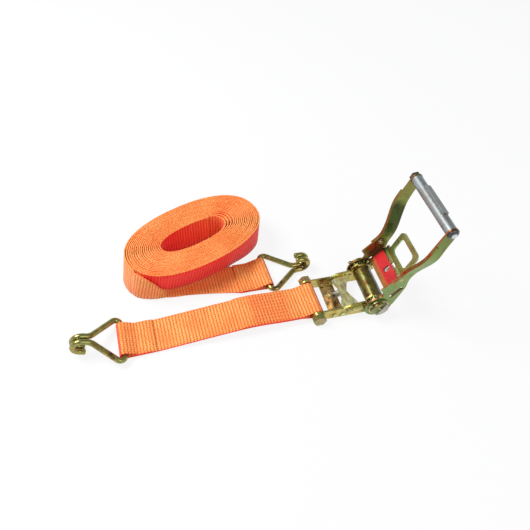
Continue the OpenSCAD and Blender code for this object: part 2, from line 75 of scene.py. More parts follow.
class Tree:
    """Short names for the nodes of one material."""

    def __init__(self, tree):
        self.tree = tree

    def add(self, kind, **settings):
        node = self.tree.nodes.new("ShaderNode" + kind)
        for key, value in settings.items():
            setattr(node, key, value)
        return node

    def join(self, out, into):
        self.tree.links.new(out, into)

    def put(self, socket, value):
        if hasattr(value, "is_output"):
            self.join(value, socket)
        else:
            socket.default_value = value

    def math(self, operation, a, b=0.0, c=0.0, clamp=False):
        node = self.add("Math", operation=operation, use_clamp=clamp)
        for socket, value in zip(node.inputs, (a, b, c)):
            self.put(socket, value)
        return node.outputs[0]

    def vector(self, operation, a, b=None, out="Vector"):
        node = self.add("VectorMath", operation=operation)
        self.join(a, node.inputs[0])
        if b is not None:
            node.inputs[1].default_value = b
        return node.outputs[out]

    def parts(self, vector):
        node = self.add("SeparateXYZ")
        self.join(vector, node.inputs[0])
        return node.outputs

    def mix(self, factor, a, b, blend="MIX"):
        node = self.add("Mix", data_type="RGBA", blend_type=blend)
        self.put(node.inputs["Factor"], factor)
        self.put(node.inputs[6], a)
        self.put(node.inputs[7], b)
        return node.outputs[2]

    def noise(self, vector, scale, detail=2.0, rough=0.5, stretch=None):
        if stretch is not None:
            mapping = self.add("Mapping")
            self.join(vector, mapping.inputs["Vector"])
            mapping.inputs["Scale"].default_value = stretch
            vector = mapping.outputs[0]
        node = self.add("TexNoise")
        self.join(vector, node.inputs["Vector"])
        node.inputs["Scale"].default_value = scale
        node.inputs["Detail"].default_value = detail
        node.inputs["Roughness"].default_value = rough
        return node.outputs["Fac"]

    def ramp(self, factor, stops):
        node = self.add("ValToRGB")
        self.join(factor, node.inputs[0])
        elements = node.color_ramp.elements
        while len(elements) < len(stops):
            elements.new(0.5)
        for element, (place, colour) in zip(elements, stops):
            element.position = place
            element.color = (*colour, 1.0) if len(colour) == 3 else colour
        return node.outputs[0]

    def spread(self, value, low, high, to_low=0.0, to_high=1.0):
        node = self.add("MapRange", clamp=True)
        for socket, v in zip(node.inputs[:5], (value, low, high, to_low, to_high)):
            self.put(socket, v)
        return node.outputs[0]

    def bump(self, height, strength, distance):
        node = self.add("Bump")
        self.join(height, node.inputs["Height"])
        node.inputs["Strength"].default_value = strength
        node.inputs["Distance"].default_value = distance
        return node.outputs[0]

    def shader(self, colour, roughness, normal=None, **constants):
        node = self.add("BsdfPrincipled")
        self.put(node.inputs["Base Color"], colour)
        self.put(node.inputs["Roughness"], roughness)
        if normal is not None:
            self.join(normal, node.inputs["Normal"])
        for key, value in constants.items():
            node.inputs[key.replace("_", " ")].default_value = value
        out = self.add("OutputMaterial")
        self.join(node.outputs[0], out.inputs[0])
        return node


# The floor, in metres: half its side and its height. FLOOR_GLOW is the share of light of its own
# that the camera and mirrors see in it
FLOOR_HALF, FLOOR_Z = 6.0, -0.0002
FLOOR_GLOW = 0.86


def add_stage():
    """A floor that the camera and mirrors see nearly white, and a studio sky above it."""
    material, tree = new_material("floor")
    t = Tree(tree)
    diffuse = t.add("BsdfDiffuse")
    diffuse.inputs["Color"].default_value = (0.82, 0.82, 0.82, 1)
    glow = t.add("Emission")
    glow.inputs["Color"].default_value = (1, 1, 1, 1)
    path = t.add("LightPath")
    seen = t.math("MAXIMUM", path.outputs["Is Camera Ray"],
                  t.math("MAXIMUM", path.outputs["Is Glossy Ray"],
                         path.outputs["Is Transmission Ray"]))
    mixed = t.add("MixShader")
    t.join(t.math("MULTIPLY", seen, FLOOR_GLOW), mixed.inputs[0])
    t.join(diffuse.outputs[0], mixed.inputs[1])
    t.join(glow.outputs[0], mixed.inputs[2])
    out = t.add("OutputMaterial")
    t.join(mixed.outputs[0], out.inputs[0])
    mesh = bpy.data.meshes.new("floor")
    corners = [(-1, -1), (1, -1), (1, 1), (-1, 1)]
    mesh.from_pydata([(x * FLOOR_HALF, y * FLOOR_HALF, FLOOR_Z) for x, y in corners], [],
                     [(0, 1, 2, 3)])
    mesh.materials.append(material)
    floor = bpy.data.objects.new("floor", mesh)
    bpy.context.scene.collection.objects.link(floor)

    world = bpy.data.worlds.new("studio")
    world.use_nodes = True
    w = Tree(world.node_tree)
    world.node_tree.nodes.clear()
    height = w.parts(w.add("TexCoord").outputs["Generated"])["Z"]
    sky = w.ramp(height, [(0.0, (1.0, 1.0, 1.0)), (0.12, (0.92, 0.93, 0.94)),
                          (0.5, (0.34, 0.35, 0.37)), (1.0, (0.26, 0.27, 0.29))])
    glow = w.add("Background")
    w.join(sky, glow.inputs[0])
    glow.inputs[1].default_value = 1.0
    out = w.add("OutputWorld")
    w.join(glow.outputs[0], out.inputs[0])
    bpy.context.scene.world = world


LAMP_AIM = (-0.1, 0.05, 0.0)


def add_lamp(name, place, size, power):
    """A round soft lamp, turned to the middle of the object."""
    data = bpy.data.lights.new(name, "AREA")
    data.shape = "DISK"
    data.size = size
    data.energy = power
    lamp = bpy.data.objects.new(name, data)
    lamp.location = place
    lamp.rotation_euler = (Vector(LAMP_AIM) - Vector(place)).to_track_quat("-Z", "Y").to_euler()
    bpy.context.scene.collection.objects.link(lamp)


add_camera()
add_stage()
add_lamp("key", (-1.1, 0.5, 1.5), 0.9, 31)
add_lamp("fill", (0.5, -1.2, 1.3), 1.4, 9)
bpy.context.scene.view_settings.view_transform = "Standard"


# ---- Materials ----

WEAVE = "weave"
# The face attribute that holds each face's share of painted shade
PAINTED_SHADE = "painted_shade"
SEWN = "sewn"
RIM = "rim"
# Pitches of the weave and of the sewing, in metres
RIB_PITCH, WARP_PITCH = 0.0044, 0.0034
SEAM_PITCH, STITCH_PITCH = 0.0052, 0.0048


def webbing():
    """Woven polyester tape. The weave map runs along the tape in U and across it in V, in metres.
    One face attribute holds how much painted shade, a dark red, each face gets; "sewn" marks the
    stitched overlaps and "rim" the edges."""
    material, tree = new_material("webbing")
    t = Tree(tree)
    uv = t.add("UVMap", uv_map=WEAVE).outputs[0]
    along, across = t.parts(uv)[:2]
    painted_shade = t.add("Attribute", attribute_name=PAINTED_SHADE).outputs["Fac"]
    sewn = t.add("Attribute", attribute_name=SEWN).outputs["Fac"]
    # Ribs lie across the tape and sink at the lines between the warp rows
    wobble = t.noise(uv, 170, 2)
    slow = t.noise(uv, 38, 2)
    row = t.math("ADD", t.math("DIVIDE", along, RIB_PITCH), t.math("MULTIPLY", wobble, 0.5))
    column = t.math("ADD", t.math("DIVIDE", across, WARP_PITCH),
                    t.math("MULTIPLY", wobble, 0.35))
    odd = t.math("FLOORED_MODULO", t.math("FLOOR", column), 2.0)
    step = t.math("PINGPONG", t.math("ADD", row, t.math("MULTIPLY", odd, 0.12)), 0.5)
    between = t.math("PINGPONG", column, 0.5)
    rib = t.spread(step, 0.1, 0.42, 0.0, 1.0)
    ridge = t.math("MULTIPLY", rib, t.spread(between, 0.02, 0.2, 0.35, 1.0))
    low = t.math("MULTIPLY", t.spread(step, 0.02, 0.18, 1.0, 0.0),
                 t.spread(between, 0.04, 0.26, 1.0, 0.12))
    twill = t.add("TexWave", wave_type="BANDS", bands_direction="DIAGONAL")
    t.join(uv, twill.inputs["Vector"])
    twill.inputs["Scale"].default_value = 330
    twill.inputs["Distortion"].default_value = 1.6
    yarn = twill.outputs["Fac"]
    strong = t.math("ADD", t.spread(slow, 0.35, 0.65, 0.5, 1.0), t.math("MULTIPLY", sewn, 0.2))
    patch = t.noise(uv, 26, 3)
    tint = t.ramp(patch, [(0.3, (0.80, 0.14, 0.016)), (0.7, (0.90, 0.21, 0.032))])
    tint = t.mix(t.math("MULTIPLY", yarn, 0.28), tint, (0.95, 0.33, 0.07, 1))
    # Painted highlight on the ribs' ridges and painted shade in the sunken lines between them
    colour = t.mix(t.math("MULTIPLY", ridge, strong, clamp=True), tint, (0.97, 0.53, 0.17, 1))
    colour = t.mix(t.math("MULTIPLY", low, strong, clamp=True), colour, (0.25, 0.045, 0.008, 1))
    colour = t.mix(t.math("MULTIPLY", sewn, 0.5), colour, (0.95, 0.30, 0.10, 1), "MULTIPLY")
    # Sewing thread runs in rows along the overlaps
    thread = t.math("PINGPONG", t.math("DIVIDE", across, SEAM_PITCH), 0.5)
    stitch = t.math("PINGPONG", t.math("DIVIDE", along, STITCH_PITCH), 0.5)
    seam = t.math("MULTIPLY", t.spread(thread, 0.02, 0.13, 1.0, 0.0),
                  t.math("MULTIPLY", sewn, t.spread(stitch, 0.06, 0.16, 0.0, 1.0)))
    colour = t.mix(t.math("MULTIPLY", seam, 0.75), colour, (1.0, 0.47, 0.14, 1))
    grain = t.noise(uv, 900, 3, 0.65)
    # On its edges the tape shows the turned yarns as a fine grain
    rim = t.add("Attribute", attribute_name=RIM).outputs["Fac"]
    place = t.add("TexCoord").outputs["Object"]
    fibre = t.noise(place, 620, 3, 0.7)
    glint = t.ramp(t.math("ADD", t.math("MULTIPLY", fibre, 0.75),
                          t.math("MULTIPLY", t.noise(place, 22, 2), 0.25)),
                   [(0.36, (0.82, 0.13, 0.018)), (0.5, (0.96, 0.30, 0.06)),
                    (0.62, (1.0, 0.50, 0.17))])
    colour = t.mix(t.math("MULTIPLY", rim, 0.85), colour, glint)
    # Painted shade: faces turned from the light are painted dark red, in the share that the
    # attribute gives
    shade_red = t.ramp(t.math("ADD", t.math("MULTIPLY", rib, 0.6), t.math("MULTIPLY", grain, 0.4)),
                  [(0.2, (0.84, 0.006, 0.007)), (0.8, (1.0, 0.04, 0.016))])
    colour = t.mix(painted_shade, colour, shade_red)
    raised = t.math("ADD", t.math("ADD", ridge, t.math("MULTIPLY", yarn, 0.3)),
                    t.math("MULTIPLY", seam, 0.6))
    height = t.math("SUBTRACT", raised, t.math("MULTIPLY", low, 0.5))
    t.shader(colour, t.spread(rib, 0.0, 1.0, 0.75, 0.5), t.bump(height, 0.6, 0.0006),
             Sheen_Weight=0.12, Sheen_Roughness=0.5, Specular_IOR_Level=0.3)
    return material


def zinc(name, tints, rough=(0.24, 0.42), scale=26.0, grain=0.12, edge=None, bands=None,
         metallic=0.92, sides=None):
    """Passivated zinc: the dye drifts between the tints over the steel. edge is a direction in the
    part's frame and the colour of the faces that look that way, a painted reflection on the near
    arm and painted shade on spool half A. bands is a point, a direction and (distance in metres,
    colour) stops for colour that changes along a piece; the far arm's dark middle stops are
    painted shadow.
    sides is a distance from the middle plane and the colour of what lies beyond it, painted shade
    on the pawl plate's tabs in the handle's slots."""
    material, tree = new_material(name)
    t = Tree(tree)
    coordinates = t.add("TexCoord")
    place = coordinates.outputs["Object"]
    drift = t.noise(place, scale, 3, 0.6)
    stops = [(0.32 + 0.36 * i / (len(tints) - 1), tint) for i, tint in enumerate(tints)]
    colour = t.ramp(drift, stops)
    if bands is not None:
        start, direction, ladder = bands
        run = t.vector("DOT_PRODUCT", t.vector("SUBTRACT", place, start), direction, "Value")
        reach = ladder[-1][0]
        waver = t.math("ADD", run,
                       t.math("MULTIPLY", t.math("SUBTRACT", t.noise(place, 40, 2), 0.5), 0.03))
        banded = t.ramp(t.math("DIVIDE", waver, reach), [(d / reach, c) for d, c in ladder])
        colour = t.mix(0.78, colour, banded)
    if edge is not None:
        direction, edge_colour = edge
        facing = t.vector("DOT_PRODUCT", coordinates.outputs["Normal"], direction, "Value")
        share = t.math("MULTIPLY", t.spread(facing, 0.45, 0.8),
                       t.spread(t.noise(place, 60, 2), 0.35, 0.55, 0.35, 1.0))
        colour = t.mix(share, colour, (*edge_colour, 1))
    if sides is not None:
        from_middle, side_colour = sides
        beyond = t.spread(t.math("ABSOLUTE", t.parts(place)["Y"]), from_middle,
                          from_middle + 0.0005)
        colour = t.mix(beyond, colour, (*side_colour, 1))
    stain = t.noise(place, scale * 3.1, 4, 0.6)
    colour = t.mix(t.spread(stain, 0.52, 0.72, 0.0, 0.5), colour, (0.17, 0.10, 0.03, 1))
    scratch = t.noise(place, 300, 2, 0.6, (1.0, 0.25, 1.0))
    t.shader(colour, t.spread(scratch, 0.3, 0.7, rough[0], rough[1]),
             t.bump(scratch, grain, 0.0003), Metallic=metallic)
    return material


def black_paint():
    """Black gloss paint with an uneven film, turning to bright steel colour round the grip's axis.
    """
    material, tree = new_material("black_bolt")
    t = Tree(tree)
    place = t.add("TexCoord").outputs["Object"]
    film = t.noise(place, 45, 3, 0.6)
    shade = t.ramp(film, [(0.35, (0.02, 0.02, 0.02)), (0.65, (0.05, 0.05, 0.05))])
    flat = t.vector("MULTIPLY", t.vector("SUBTRACT", place, GRIP), (1.0, 0.0, 1.0))
    distance = t.vector("LENGTH", flat, out="Value")
    bright_centre = t.spread(distance, BRIGHT_R * 0.7, BRIGHT_R, 1.0, 0.0)
    shade = t.mix(bright_centre, shade, (0.62, 0.66, 0.66, 1))
    peel = t.noise(place, 420, 2, 0.5)
    t.shader(shade, t.spread(film, 0.3, 0.7, 0.16, 0.28), t.bump(peel, 0.1, 0.0003),
             Metallic=0.4, Coat_Weight=0.6, Coat_Roughness=0.12)
    return material


def red_paint():
    """Red paint with an orange painted reflection at the edge by the spool and a dark brown
    painted reflection on the flanges.
    """
    material, tree = new_material("red_plate")
    t = Tree(tree)
    place = t.add("TexCoord").outputs["Object"]
    film = t.noise(place, 45, 3, 0.6)
    colour = t.ramp(film, [(0.35, (0.50, 0.006, 0.010)), (0.65, (0.68, 0.012, 0.018))])
    # Painted reflection: orange along the web's edge by the spool
    reach = t.vector("DOT_PRODUCT", place, ALONG_PAWL, "Value")
    edge = t.spread(reach, WEB_EDGE + 0.0005, WEB_EDGE + 0.003, 1.0, 0.0)
    colour = t.mix(edge, colour, (0.50, 0.11, 0.02, 1))
    # Painted reflection: dark brown on the flanges, beyond FLANGE_Y
    flange = t.spread(t.math("ABSOLUTE", t.parts(place)["Y"]), *FLANGE_Y)
    colour = t.mix(flange, colour, (0.09, 0.035, 0.01, 1))
    peel = t.noise(place, 420, 2, 0.5)
    t.shader(colour, t.spread(film, 0.3, 0.7, 0.3, 0.45), t.bump(peel, 0.1, 0.0003),
             Coat_Weight=0.25, Coat_Roughness=0.2, Specular_IOR_Level=0.35)
    return material


# Places in the part's frame, in metres: the spool's axle, the grip at the arm's end, and the pawl
ARM = math.radians(69.2)
AXLE = (0.052, 0.0, 0.02)
ALONG_ARM = (math.cos(ARM), 0.0, math.sin(ARM))
BACK_OF_ARM = (-math.sin(ARM), 0.0, math.cos(ARM))
GRIP_REACH, BRIGHT_R = 0.159, 0.0042
GRIP = (AXLE[0] + GRIP_REACH * math.cos(ARM), 0.0, AXLE[2] + GRIP_REACH * math.sin(ARM))
PAWL = math.radians(52.5)
ALONG_PAWL = (math.cos(PAWL), 0.0, math.sin(PAWL))
PAWL_REACH = 0.021
PAWL_TIP = (AXLE[0] + PAWL_REACH * math.cos(PAWL), 0.0, AXLE[2] + PAWL_REACH * math.sin(PAWL))
# The red web: its edge by the spool, measured along the pawl, and where its flanges begin in Y
WEB_EDGE = 0.027 + AXLE[0] * math.cos(PAWL) + AXLE[2] * math.sin(PAWL)
FLANGE_Y = (0.0262, 0.0298)

GREEN, BROWN = (0.20, 0.30, 0.07), (0.13, 0.06, 0.015)
ARM_NEAR_BANDS = [(0.0, (0.20, 0.28, 0.09)), (0.06, (0.24, 0.34, 0.12)), (0.12, GREEN),
                  (0.148, (0.16, 0.18, 0.05)), (0.16, (0.20, 0.05, 0.02)), (0.18, BROWN)]
# The far arm's bands turn near black in its middle stretch: painted shadow
ARM_FAR_BANDS = [(0.0, (0.22, 0.14, 0.04)), (0.045, (0.30, 0.22, 0.06)),
                 (0.06, (0.34, 0.33, 0.10)), (0.078, (0.04, 0.055, 0.016)),
                 (0.11, (0.014, 0.026, 0.008)), (0.122, (0.24, 0.26, 0.06)),
                 (0.155, (0.26, 0.22, 0.06)), (0.18, (0.2, 0.2, 0.08))]
PAWL_BANDS = [(0.0, (0.52, 0.14, 0.03)), (0.016, (0.46, 0.14, 0.04)), (0.022, (0.30, 0.24, 0.10)),
              (0.034, (0.34, 0.46, 0.14)), (0.06, (0.36, 0.46, 0.18))]
ZINC_LOOKS = {
    # Near arm: its faces turned to the back of the arm take a red painted reflection of the strap
    "arm_near": dict(tints=[(0.30, 0.25, 0.08), GREEN, (0.25, 0.36, 0.12), GREEN], scale=18,
                     edge=(BACK_OF_ARM, (0.42, 0.09, 0.035)),
                     bands=(AXLE, ALONG_ARM, ARM_NEAR_BANDS)),
    "arm_far": dict(tints=[BROWN, (0.2, 0.16, 0.05), GREEN, BROWN],
                    edge=(BACK_OF_ARM, (0.26, 0.11, 0.02)),
                    bands=(AXLE, ALONG_ARM, ARM_FAR_BANDS)),
    "rail": dict(tints=[(0.26, 0.16, 0.04), (0.54, 0.42, 0.10), (0.64, 0.52, 0.16),
                        (0.40, 0.40, 0.12), (0.22, 0.11, 0.03)], scale=34),
    # Pawl plate: its tabs beyond 32.5 mm from the middle are painted dark brown, painted shade in
    # the handle's slots
    "pawl_plate": dict(tints=[(0.40, 0.28, 0.16), (0.33, 0.44, 0.13), (0.36, 0.50, 0.15),
                              (0.44, 0.34, 0.2)], scale=24,
                       bands=(PAWL_TIP, ALONG_PAWL, PAWL_BANDS),
                       sides=(0.0325, (0.10, 0.025, 0.012))),
    "lock_zinc": dict(tints=[(0.52, 0.38, 0.22), (0.60, 0.55, 0.26), (0.66, 0.66, 0.30),
                             (0.80, 0.68, 0.52)], scale=70, rough=(0.3, 0.6), grain=0.5),
    "wheel_zinc": dict(tints=[(0.10, 0.12, 0.04), (0.30, 0.27, 0.11), (0.58, 0.56, 0.30),
                              (0.12, 0.12, 0.04)], scale=44),
    # Spool half A: its faces turned to the lower left are painted dark brown, painted shade
    "spool_gold": dict(tints=[(0.30, 0.22, 0.06), (0.27, 0.30, 0.08), (0.30, 0.33, 0.11),
                              (0.12, 0.13, 0.03)], scale=22, rough=(0.26, 0.4), grain=0.05,
                       edge=((-0.82, 0.0, 0.57), (0.11, 0.05, 0.015))),
    # Spool half B: its bluish grey is a painted reflection on the same zinc as half A
    "spool_grey": dict(tints=[(0.46, 0.48, 0.44), (0.52, 0.54, 0.50), (0.60, 0.62, 0.58),
                              (0.42, 0.40, 0.32)], scale=22, rough=(0.36, 0.5), metallic=0.7),
    "bracket": dict(tints=[(0.30, 0.16, 0.08), (0.50, 0.34, 0.17), (0.58, 0.44, 0.22),
                           (0.36, 0.22, 0.12)], scale=40),
    "green_hex": dict(tints=[(0.30, 0.34, 0.10), (0.22, 0.38, 0.09), (0.30, 0.50, 0.15),
                             (0.34, 0.38, 0.14)], scale=48,
                      edge=((0.0, -1.0, 0.0), (0.44, 0.27, 0.17))),
    "hook_zinc": dict(tints=[(0.16, 0.09, 0.03), (0.40, 0.32, 0.09), (0.24, 0.27, 0.09),
                             (0.52, 0.38, 0.12), (0.12, 0.09, 0.03)], scale=42,
                      rough=(0.2, 0.34)),
    "spring_steel": dict(tints=[(0.12, 0.10, 0.06), (0.45, 0.42, 0.36), (0.65, 0.63, 0.58),
                                (0.2, 0.16, 0.1)], scale=80),
    "grip_metal": dict(tints=[(0.28, 0.25, 0.25), (0.29, 0.31, 0.31), (0.33, 0.37, 0.38),
                              (0.28, 0.30, 0.31)], scale=20, rough=(0.44, 0.48), grain=0.0),
}
MATERIALS = {"webbing": webbing(), "red_plate": red_paint(), "black_bolt": black_paint()}
for look, settings in ZINC_LOOKS.items():
    MATERIALS[look] = zinc(look, **settings)


# ---- Shapes ----

def add_piece(name, verts, faces, material, body, replaces):
    """A smooth mesh in the part's frame that rides on a body and replaces its nodes."""
    mesh = bpy.data.meshes.new(name)
    mesh.from_pydata([tuple(v) for v in verts], [], faces)
    mesh.validate()
    shape = bmesh.new()
    shape.from_mesh(mesh)
    bmesh.ops.recalc_face_normals(shape, faces=shape.faces)
    shape.to_mesh(mesh)
    shape.free()
    mesh.materials.append(MATERIALS[material])
    mesh.polygons.foreach_set("use_smooth", [True] * len(mesh.polygons))
    piece = bpy.data.objects.new(name, mesh)
    bpy.context.scene.collection.objects.link(piece)
    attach(piece, body)
    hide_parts(*replaces)
    return piece


def catmull(points, steps):
    """Smooth line through the points, as the part's source draws it."""
    p = np.array(points, float)
    out = []
    for i in range(len(p) - 1):
        a, b, c, d = p[max(i - 1, 0)], p[i], p[i + 1], p[min(i + 2, len(p) - 1)]
        for k in range(steps):
            t = k / steps
            out.append(0.5 * (2 * b + (c - a) * t + (2 * a - 5 * b + 4 * c - d) * t * t
                              + (3 * b - a - 3 * c + d) * t ** 3))
    out.append(p[-1])
    return np.array(out)


def unit(v):
    """Vectors made one long."""
    v = np.asarray(v, float)
    return v / np.maximum(np.linalg.norm(v, axis=-1, keepdims=True), 1e-12)


def tangents(path):
    """Unit direction of the line at each of its points."""
    return unit(np.gradient(path, axis=0))


# Webbing, in mm: the edge's inset, the share of the thickness at the edge, the length over which a
# cut end is pressed, and the spread of the ripple
ROW_INSET = 0.7
ROUNDING = 0.2
PRESSED_RUN = 7
RIPPLE = 0.05


def tape(name, centre, side, thick, width, body, replaces, painted_shade, sewn, across=10, ends=1.0,
         narrow=None):
    """Woven tape along centre, with side the unit direction across it and across points over its
    width. A face's painted shade comes from the shade function called with (index, normal,
    on_edge), and its stitching from sewn(run, normal).
    ends is the share of its thickness that a cut end keeps, and narrow the share of the width that
    is not tucked under."""
    n = len(centre)
    along = tangents(centre)
    normal = unit(np.cross(along, side))
    run = np.concatenate([[0], np.cumsum(np.linalg.norm(np.diff(centre, axis=0), axis=1))])
    half = width / 2
    lines = np.linspace(-half + ROW_INSET, half - ROW_INSET, across)
    section = [(y, thick / 2) for y in lines]
    section += [(half, thick * ROUNDING), (half, -thick * ROUNDING)]
    section += [(y, -thick / 2) for y in lines[::-1]]
    section += [(-half, -thick * ROUNDING), (-half, thick * ROUNDING)]
    m = len(section)
    y, z = np.array(section).T
    rng = np.random.RandomState(7)
    ripple = rng.normal(0, RIPPLE, (n, 1, 1))
    # The cut ends are pressed thin, towards the layer that they are sewn on
    from_end = np.minimum(run, run[-1] - run)
    thin = np.interp(from_end, [0, PRESSED_RUN], [ends, 1.0])[:, None, None]
    press = (thin - 1) * thick / 2
    share = np.ones(n) if narrow is None else narrow
    verts = (centre[:, None, :] + side[:, None, :] * y[None, :, None] * share[:, None, None]
             + normal[:, None, :] * (z[None, :, None] * thin + press + ripple))
    faces = []
    for i in range(n - 1):
        for k in range(m):
            a, b = i * m + k, i * m + (k + 1) % m
            faces.append((a, b, b + m, a + m))
    faces.append(tuple(range(m - 1, -1, -1)))
    faces.append(tuple((n - 1) * m + k for k in range(m)))
    piece = add_piece(name, verts.reshape(-1, 3) * MM, faces, "webbing", body,
                      replaces)
    mesh = piece.data
    uv = mesh.uv_layers.new(name=WEAVE)
    loops = np.zeros((len(mesh.loops), 2))
    vert = np.zeros(len(mesh.loops), int)
    mesh.loops.foreach_get("vertex_index", vert)
    loops[:, 0] = run[vert // m] * MM
    loops[:, 1] = (y + half)[vert % m] * MM
    uv.data.foreach_set("uv", loops.ravel())
    painted_shades, stitches, edges = [], [], []
    # The two cut ends are the only faces with more than four corners
    for face in mesh.polygons:
        i = min(v // m for v in face.vertices)
        k = min(v % m for v in face.vertices)
        is_cap = len(face.vertices) > 4
        on_edge = not (k < across - 1 or across + 2 <= k < 2 * across + 1)
        painted_shades.append(0.0 if is_cap else painted_shade(i, face.normal, on_edge))
        stitches.append(0.0 if on_edge else sewn(run[i], face.normal))
        edges.append(1.0 if on_edge or is_cap else 0.0)
    for attribute, values in ((PAINTED_SHADE, painted_shades), (SEWN, stitches), (RIM, edges)):
        mesh.attributes.new(attribute, "FLOAT", "FACE").data.foreach_set("value", values)
    return piece


def placed(points, at, yaw):
    """Points of a strap's own frame, turned about Z and moved into the part's frame, in mm."""
    c, s = math.cos(math.radians(yaw)), math.sin(math.radians(yaw))
    p = np.asarray(points, float)
    return np.stack([at[0] + c * p[:, 0] - s * p[:, 1], at[1] + s * p[:, 0] + c * p[:, 1],
                     at[2] + p[:, 2]], 1)


def even(path, step):
    """The same line with its points a step apart."""
    gaps = np.linalg.norm(np.diff(path, axis=0), axis=1)
    run = np.concatenate([[0], np.cumsum(gaps)])
    want = np.linspace(0, run[-1], max(2, int(round(run[-1] / step)) + 1))
    return np.stack([np.interp(want, run, path[:, k]) for k in range(path.shape[1])], 1)


def loop_round(at, radius, start, stop, steps=18):
    """Part of a circle in X and Z, from angle start to angle stop in degrees above +X."""
    a = np.radians(np.linspace(start, stop, steps))
    return np.stack([at[0] + radius * np.cos(a), at[1] + radius * np.sin(a)], 1)


# The webbing and the short strap, in mm. The drawn tape is narrower and thinner than the webbing
# by the plays, so that its layers stay apart. SHORT_LINE is the strap's underside from the bolt to
# the hook, as pairs of the distance from the bolt and the height
WEB_W, WEB_T = 50.0, 2.6
WEB_PLAY, FACE_PLAY, TURN_PLAY = 0.4, 0.1, 0.15
# Share of painted shade on the edges of the short strap and of the long strap's eye
EDGE_SHADE = 0.85
BOLT = (-29.0, 9.0)
SHORT_REACH, SHORT_YAW = 264.0, 1.7
HOOK_Z = 7.0
BOLT_EYE, HOOK_EYE = 7.1, 5.7
BOLT_LAP, HOOK_LAP = 110.0, 42.0
SEWN_FROM, SEWN_TO = 38, 88
STEP = 2.0
# Where an eye's wrap starts and ends, in degrees above +X
WRAP, SHORT_HOOK_WRAP = (118, -100), (-75, -298)
SHORT_LINE = [(22, 6), (50, 7.5), (83, 10.5), (110, 10), (155, 6.5), (195, 3), (222, 1),
              (246, 0.5)]


def fold_shade(normal):
    """Painted shade round a fold: none where the tape lies flat, full where it turns down from the
    light.
    """
    return float(np.clip((0.93 - normal.z) * 2.2, 0, 1))


def short_strap():
    """Strap sewn round the bolt and round its hook's eye. Returns its length in mm."""
    line = catmull([(-x, z) for x, z in SHORT_LINE], 4)
    lower = line + [0, WEB_T / 2]
    upper = lower + [0, WEB_T]
    top_lap = upper[upper[:, 0] > -BOLT_LAP - 1][::-1]
    end_lap = upper[upper[:, 0] < -SHORT_REACH + HOOK_LAP + 1][::-1]
    path = np.concatenate([
        top_lap, loop_round((0, BOLT[1]), BOLT_EYE, *WRAP), lower,
        loop_round((-SHORT_REACH, HOOK_Z), HOOK_EYE, *SHORT_HOOK_WRAP), end_lap])
    path = even(path, STEP)
    xyz = placed(np.stack([path[:, 0], np.zeros(len(path)), path[:, 1]], 1),
                 (BOLT[0], 0, 0), SHORT_YAW)
    side = np.repeat(placed([(0, 1, 0)], (0, 0, 0), SHORT_YAW), len(xyz), 0)
    length = np.linalg.norm(np.diff(xyz, axis=0), axis=1).sum()

    # Painted shade: a fixed share on the edges, and round the folds by how far a face turns down
    def painted_shade(i, normal, on_edge):
        return EDGE_SHADE if on_edge else fold_shade(normal)

    def sewn(run, normal):
        return 1.0 if normal.z >= 0.2 and SEWN_FROM < BOLT_LAP - run < SEWN_TO else 0.0

    piece = tape("short_strap_web", xyz, side, WEB_T - FACE_PLAY, WEB_W - WEB_PLAY, "short_strap",
                 ["short_strap"], painted_shade, sewn, ends=0.4)
    return length


LONG_EYE, LONG_YAW = (-81.5, 62.0), 3.0
LONG_LAP = [(-22, 3.6), (-HOOK_LAP, 5.3)]
# Edges of the tail in mm, from the hook's lap to the wound part: the far edge lies under the coil,
# climbs at its left end and becomes the top of the outer turn
NEAR = [(-132, 37.8, 5), (-157, 43.5, 3), (-179, 47.5, 1.8), (-197, 49.8, 1.5), (-213, 50.6, 1.5),
        (-224, 52, 1.5), (-235, 53, 1.5), (-246, 54, 1.5), (-258, 57, 1.5), (-268, 62, 1.5),
        (-273.5, 69.5, 1.5)]
FAR = [(-132, 87.3, 4), (-157, 92.5, 1.8), (-179, 96, 1.5), (-197, 93, 1.5), (-213, 79, 1.8),
       (-222, 66, 4.5), (-231, 57, 17), (-240, 53.5, 34), (-249, 54, 45), (-258, 60, 49.8),
       (-266, 68, 50)]
# The wound part, in mm and degrees: an oval spiral whose inner turns are loose, whose near side
# leans and whose left end is splayed at the foot. WAVE is the spread of a wave WAVE_REACH from
# the middle
HANK_AT, HANK_TURN = (-173.0, 122.0), 21.0
HANK_HALF, HOLE_HALF = (107.0, 61.0), (54.0, 20.0)
TURNS, COIL_T = 17.4, 2.25
TURN_STEPS, START = 110, 190.0
LOOSE_TURNS, LOOSE_GAP = 4, 1.7
OVAL_POWER = 2.3
WAVE, WAVE_REACH = 0.16, 160
TOP_Z = 50.0
LEAN, SPLAY = 13.0, 9.0
# Points of the innermost stretch, both of whose faces get painted shade
INNER_POINTS = 130


def hank_line():
    """Top line of the wound part in the hank's own frame, from the outer turn inwards."""
    count = int(TURNS * TURN_STEPS)
    u = np.arange(count + 1) / TURN_STEPS
    a = np.radians(START - 360.0 * u)
    share = u / (TURNS - 0.5)
    rng = np.random.RandomState(3)
    waves = sum(rng.normal(0, WAVE) * np.sin(k * a + rng.uniform(0, 6.28) + 1.7 * u)
                for k in range(2, 9))
    half_x = (HANK_HALF[0] - COIL_T / 2) + (HOLE_HALF[0] - HANK_HALF[0] + COIL_T) * share
    half_y = (HANK_HALF[1] - COIL_T / 2) + (HOLE_HALF[1] - HANK_HALF[1] + COIL_T) * share
    c, s = np.cos(a), np.sin(a)
    power = 2 / OVAL_POWER
    x = half_x * np.sign(c) * np.abs(c) ** power
    y = half_y * np.sign(s) * np.abs(s) ** power
    scale = 1 + waves / WAVE_REACH
    loose = (np.clip(u - (TURNS - LOOSE_TURNS), 0, LOOSE_TURNS) * LOOSE_GAP
             * np.clip(c, 0, 1) ** 2)
    return np.stack([x * scale - loose, y * scale], 1)


